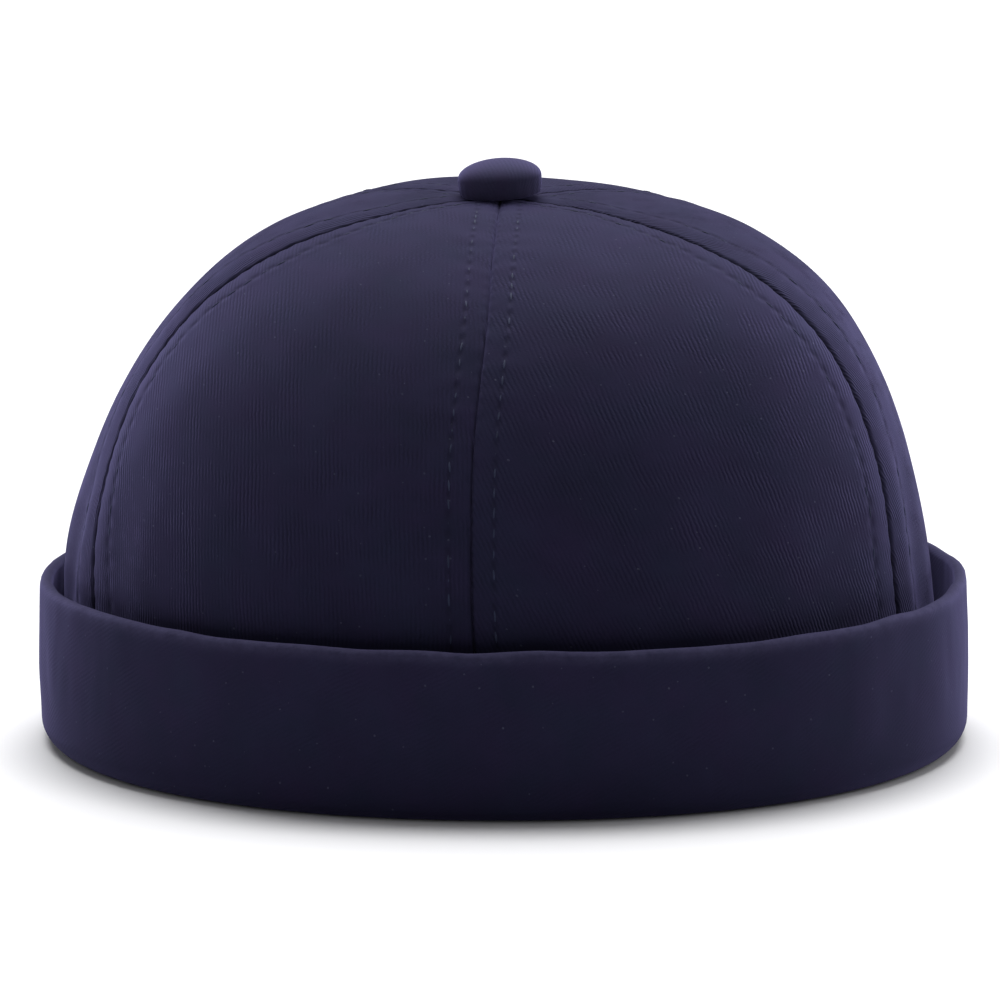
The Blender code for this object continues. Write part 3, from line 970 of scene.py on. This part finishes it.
def button_profile():
    """Radius and height down the outer side, from the top's middle to the underside."""
    waist = BUTTON_HEIGHT * BUTTON_WAIST_SHARE
    power = 2.0 / BUTTON_FULLNESS
    points = []
    for turn in np.linspace(0.0, math.pi / 2.0, 30, endpoint=False):
        height = waist + (BUTTON_HEIGHT - waist) * math.cos(turn) ** power
        points.append((BUTTON_RADIUS * math.sin(turn) ** power, height))
    for turn in np.linspace(0.0, math.pi / 2.0, 12):
        radius = BUTTON_RADIUS - BUTTON_TUCK * (1.0 - math.cos(turn))
        points.append((radius, waist * (1.0 - math.sin(turn))))
    for radius in np.linspace(BUTTON_RADIUS - BUTTON_TUCK, 0.0, 6)[1:]:
        points.append((float(radius), 0.0))
    return points


def make_button():
    profile = button_profile()
    net = bmesh.new()
    chain = [net.verts.new((radius, 0.0, height)) for radius, height in profile]
    edges = [net.edges.new(pair) for pair in zip(chain, chain[1:])]
    bmesh.ops.spin(
        net, geom=chain + edges, cent=(0.0, 0.0, 0.0), axis=(0.0, 0.0, 1.0),
        steps=BUTTON_STEPS, angle=math.tau, use_merge=True,
    )
    bmesh.ops.remove_doubles(net, verts=net.verts, dist=0.00001)
    bmesh.ops.recalc_face_normals(net, faces=net.faces)
    line = np.array(profile)
    steps = np.hypot(*np.diff(line, axis=0).T)
    reach = np.concatenate([[0.0], np.cumsum(steps)])
    layer = net.loops.layers.uv.new("cloth")
    for face in net.faces:
        for corner in face.loops:
            spot = corner.vert.co
            radius = math.hypot(spot.x, spot.y)
            far = np.abs(line[:, 0] - radius) + np.abs(line[:, 1] - spot.z)
            length = reach[np.argmin(far)]
            angle = math.atan2(spot.y, spot.x)
            corner[layer].uv = (length * math.cos(angle), length * math.sin(angle))
    shape_button(net)
    piece = finished("covered_button", net, button_cloth, 80.0)
    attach(piece, "root")
    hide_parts("top_button")


def shape_button(net):
    """Pleats under the rim, an uneven edge, and the button's place on the crown."""
    tilt = Matrix.Rotation(math.atan(TOP_LEAN), 4, "X")
    roll = Matrix.Rotation(math.radians(BUTTON_ROLL), 4, "Y")
    raised = abs(math.sin(math.radians(BUTTON_ROLL))) * (BUTTON_RADIUS - BUTTON_TUCK)
    seat = Vector(crown_skin(np.array(0.0), np.array(1.0))) + Vector((0.0, 0.0, raised))
    for point in net.verts:
        spot = point.co
        angle = math.atan2(spot.y, spot.x)
        radius = math.hypot(spot.x, spot.y)
        low = 1.0 - min(spot.z / (BUTTON_HEIGHT * 0.6), 1.0)
        rim = min(radius / BUTTON_RADIUS, 1.0) ** 2
        pull = PLEAT_DEPTH * low * math.sin(PLEATS * angle + 1.3 * math.sin(3.0 * angle))
        around = Vector((math.cos(angle), math.sin(angle), spot.z * 200.0))
        sway = EDGE_SWAY * noise.noise(around * 1.7)
        scale = 1.0 + rim * (pull + sway) / BUTTON_RADIUS
        spot = Vector((spot.x * scale, spot.y * scale, spot.z + GAP))
        point.co = seat + roll @ (tilt @ spot)


make_button()

# %% [markdown]
# ## The rivet's metal
# The rivet keeps its solid, because its shape is right. It only needs a finish: nickel-plated
# steel with fine turning marks and a little unevenness in its gloss.


# %% Rivet material
def rivet_material():
    material = bpy.data.materials.new("rivet_metal")
    material.use_nodes = True
    tree = material.node_tree
    shader = tree.nodes["Principled BSDF"]
    shader.inputs["Metallic"].default_value = 1.0
    where = add_node(tree, "ShaderNodeTexCoord")
    marks = noise_at(tree, where.outputs["Object"], 900.0, 3.0)
    dull = maths(tree, "MULTIPLY_ADD", marks, 0.25, 0.22)
    tree.links.new(dull, shader.inputs["Roughness"])
    colour = mixed(tree, marks, (0.46, 0.46, 0.47, 1.0), (0.60, 0.60, 0.62, 1.0))
    tree.links.new(colour, shader.inputs["Base Color"])
    bump = add_node(tree, "ShaderNodeBump")
    bump.inputs["Distance"].default_value = 0.00002
    tree.links.new(marks, bump.inputs["Height"])
    tree.links.new(bump.outputs[0], shader.inputs["Normal"])
    return material


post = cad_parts["button_post"]
post.data.materials.clear()
post.data.materials.append(rivet_material())

# %% [markdown]
# ## Floor, lights and camera
# The cap stands on a wide white floor that fills the view. A broad soft sun from above and
# behind brightens the top and the rims, and the white surroundings fill the front.

# %% Floor
FLOOR_HALF_SIZE = 12.0


def make_floor():
    net = bmesh.new()
    bmesh.ops.create_grid(net, x_segments=1, y_segments=1, size=FLOOR_HALF_SIZE)
    material = bpy.data.materials.new("white_floor")
    material.use_nodes = True
    shader = material.node_tree.nodes["Principled BSDF"]
    shader.inputs["Base Color"].default_value = (0.84, 0.84, 0.86, 1.0)
    shader.inputs["Roughness"].default_value = 0.9
    shader.inputs["Specular IOR Level"].default_value = 0.2
    floor = finished("studio_floor", net, material)


make_floor()


# %% Lights and surroundings
def add_light(name, kind, energy, place, target, **values):
    data = bpy.data.lights.new(name, kind)
    data.energy = energy
    for label, value in values.items():
        setattr(data, label, value)
    lamp = bpy.data.objects.new(name, data)
    lamp.location = place
    lamp.rotation_euler = (Vector(target) - Vector(place)).to_track_quat("-Z", "Y").to_euler()
    bpy.context.scene.collection.objects.link(lamp)


MIDDLE = (0.0, 0.0, 0.05)
add_light("top_sun", "SUN", 4.6, (0.0, 0.55, 1.0), MIDDLE, angle=math.radians(54.0))
add_light("left_box", "AREA", 1.4, (-1.3, 0.35, 0.55), MIDDLE, shape="SQUARE", size=0.9)
add_light("right_box", "AREA", 5.0, (1.3, 0.35, 0.60), MIDDLE, shape="SQUARE", size=0.9)

world = bpy.data.worlds.new("white_room")
world.use_nodes = True
world.node_tree.nodes["Background"].inputs["Color"].default_value = (1.0, 1.0, 1.0, 1.0)
world.node_tree.nodes["Background"].inputs["Strength"].default_value = 0.20
bpy.context.scene.world = world
bpy.context.scene.view_settings.view_transform = "Standard"

# %% [markdown]
# ## The camera
# A long lens from a little above gives the flat look of a catalogue picture. Its distance and
# height were found by matching the cap's outline and the ellipses of its cuff.

# %% Camera
CAMERA_DISTANCE = 1.300
CAMERA_ELEVATION = 8.0
AIM_HEIGHT = 0.0465
AIM_SIDE = -0.0009
LENS_MM = 233.3

lens = bpy.data.cameras.new("camera")
lens.lens = LENS_MM
lens.sensor_width = 36.0
camera = bpy.data.objects.new("camera", lens)
tilt = math.radians(CAMERA_ELEVATION)
camera.location = (
    AIM_SIDE,
    -CAMERA_DISTANCE * math.cos(tilt),
    AIM_HEIGHT + CAMERA_DISTANCE * math.sin(tilt),
)
camera.rotation_euler = (math.pi / 2.0 - tilt, 0.0, 0.0)
bpy.context.scene.collection.objects.link(camera)
bpy.context.scene.camera = camera
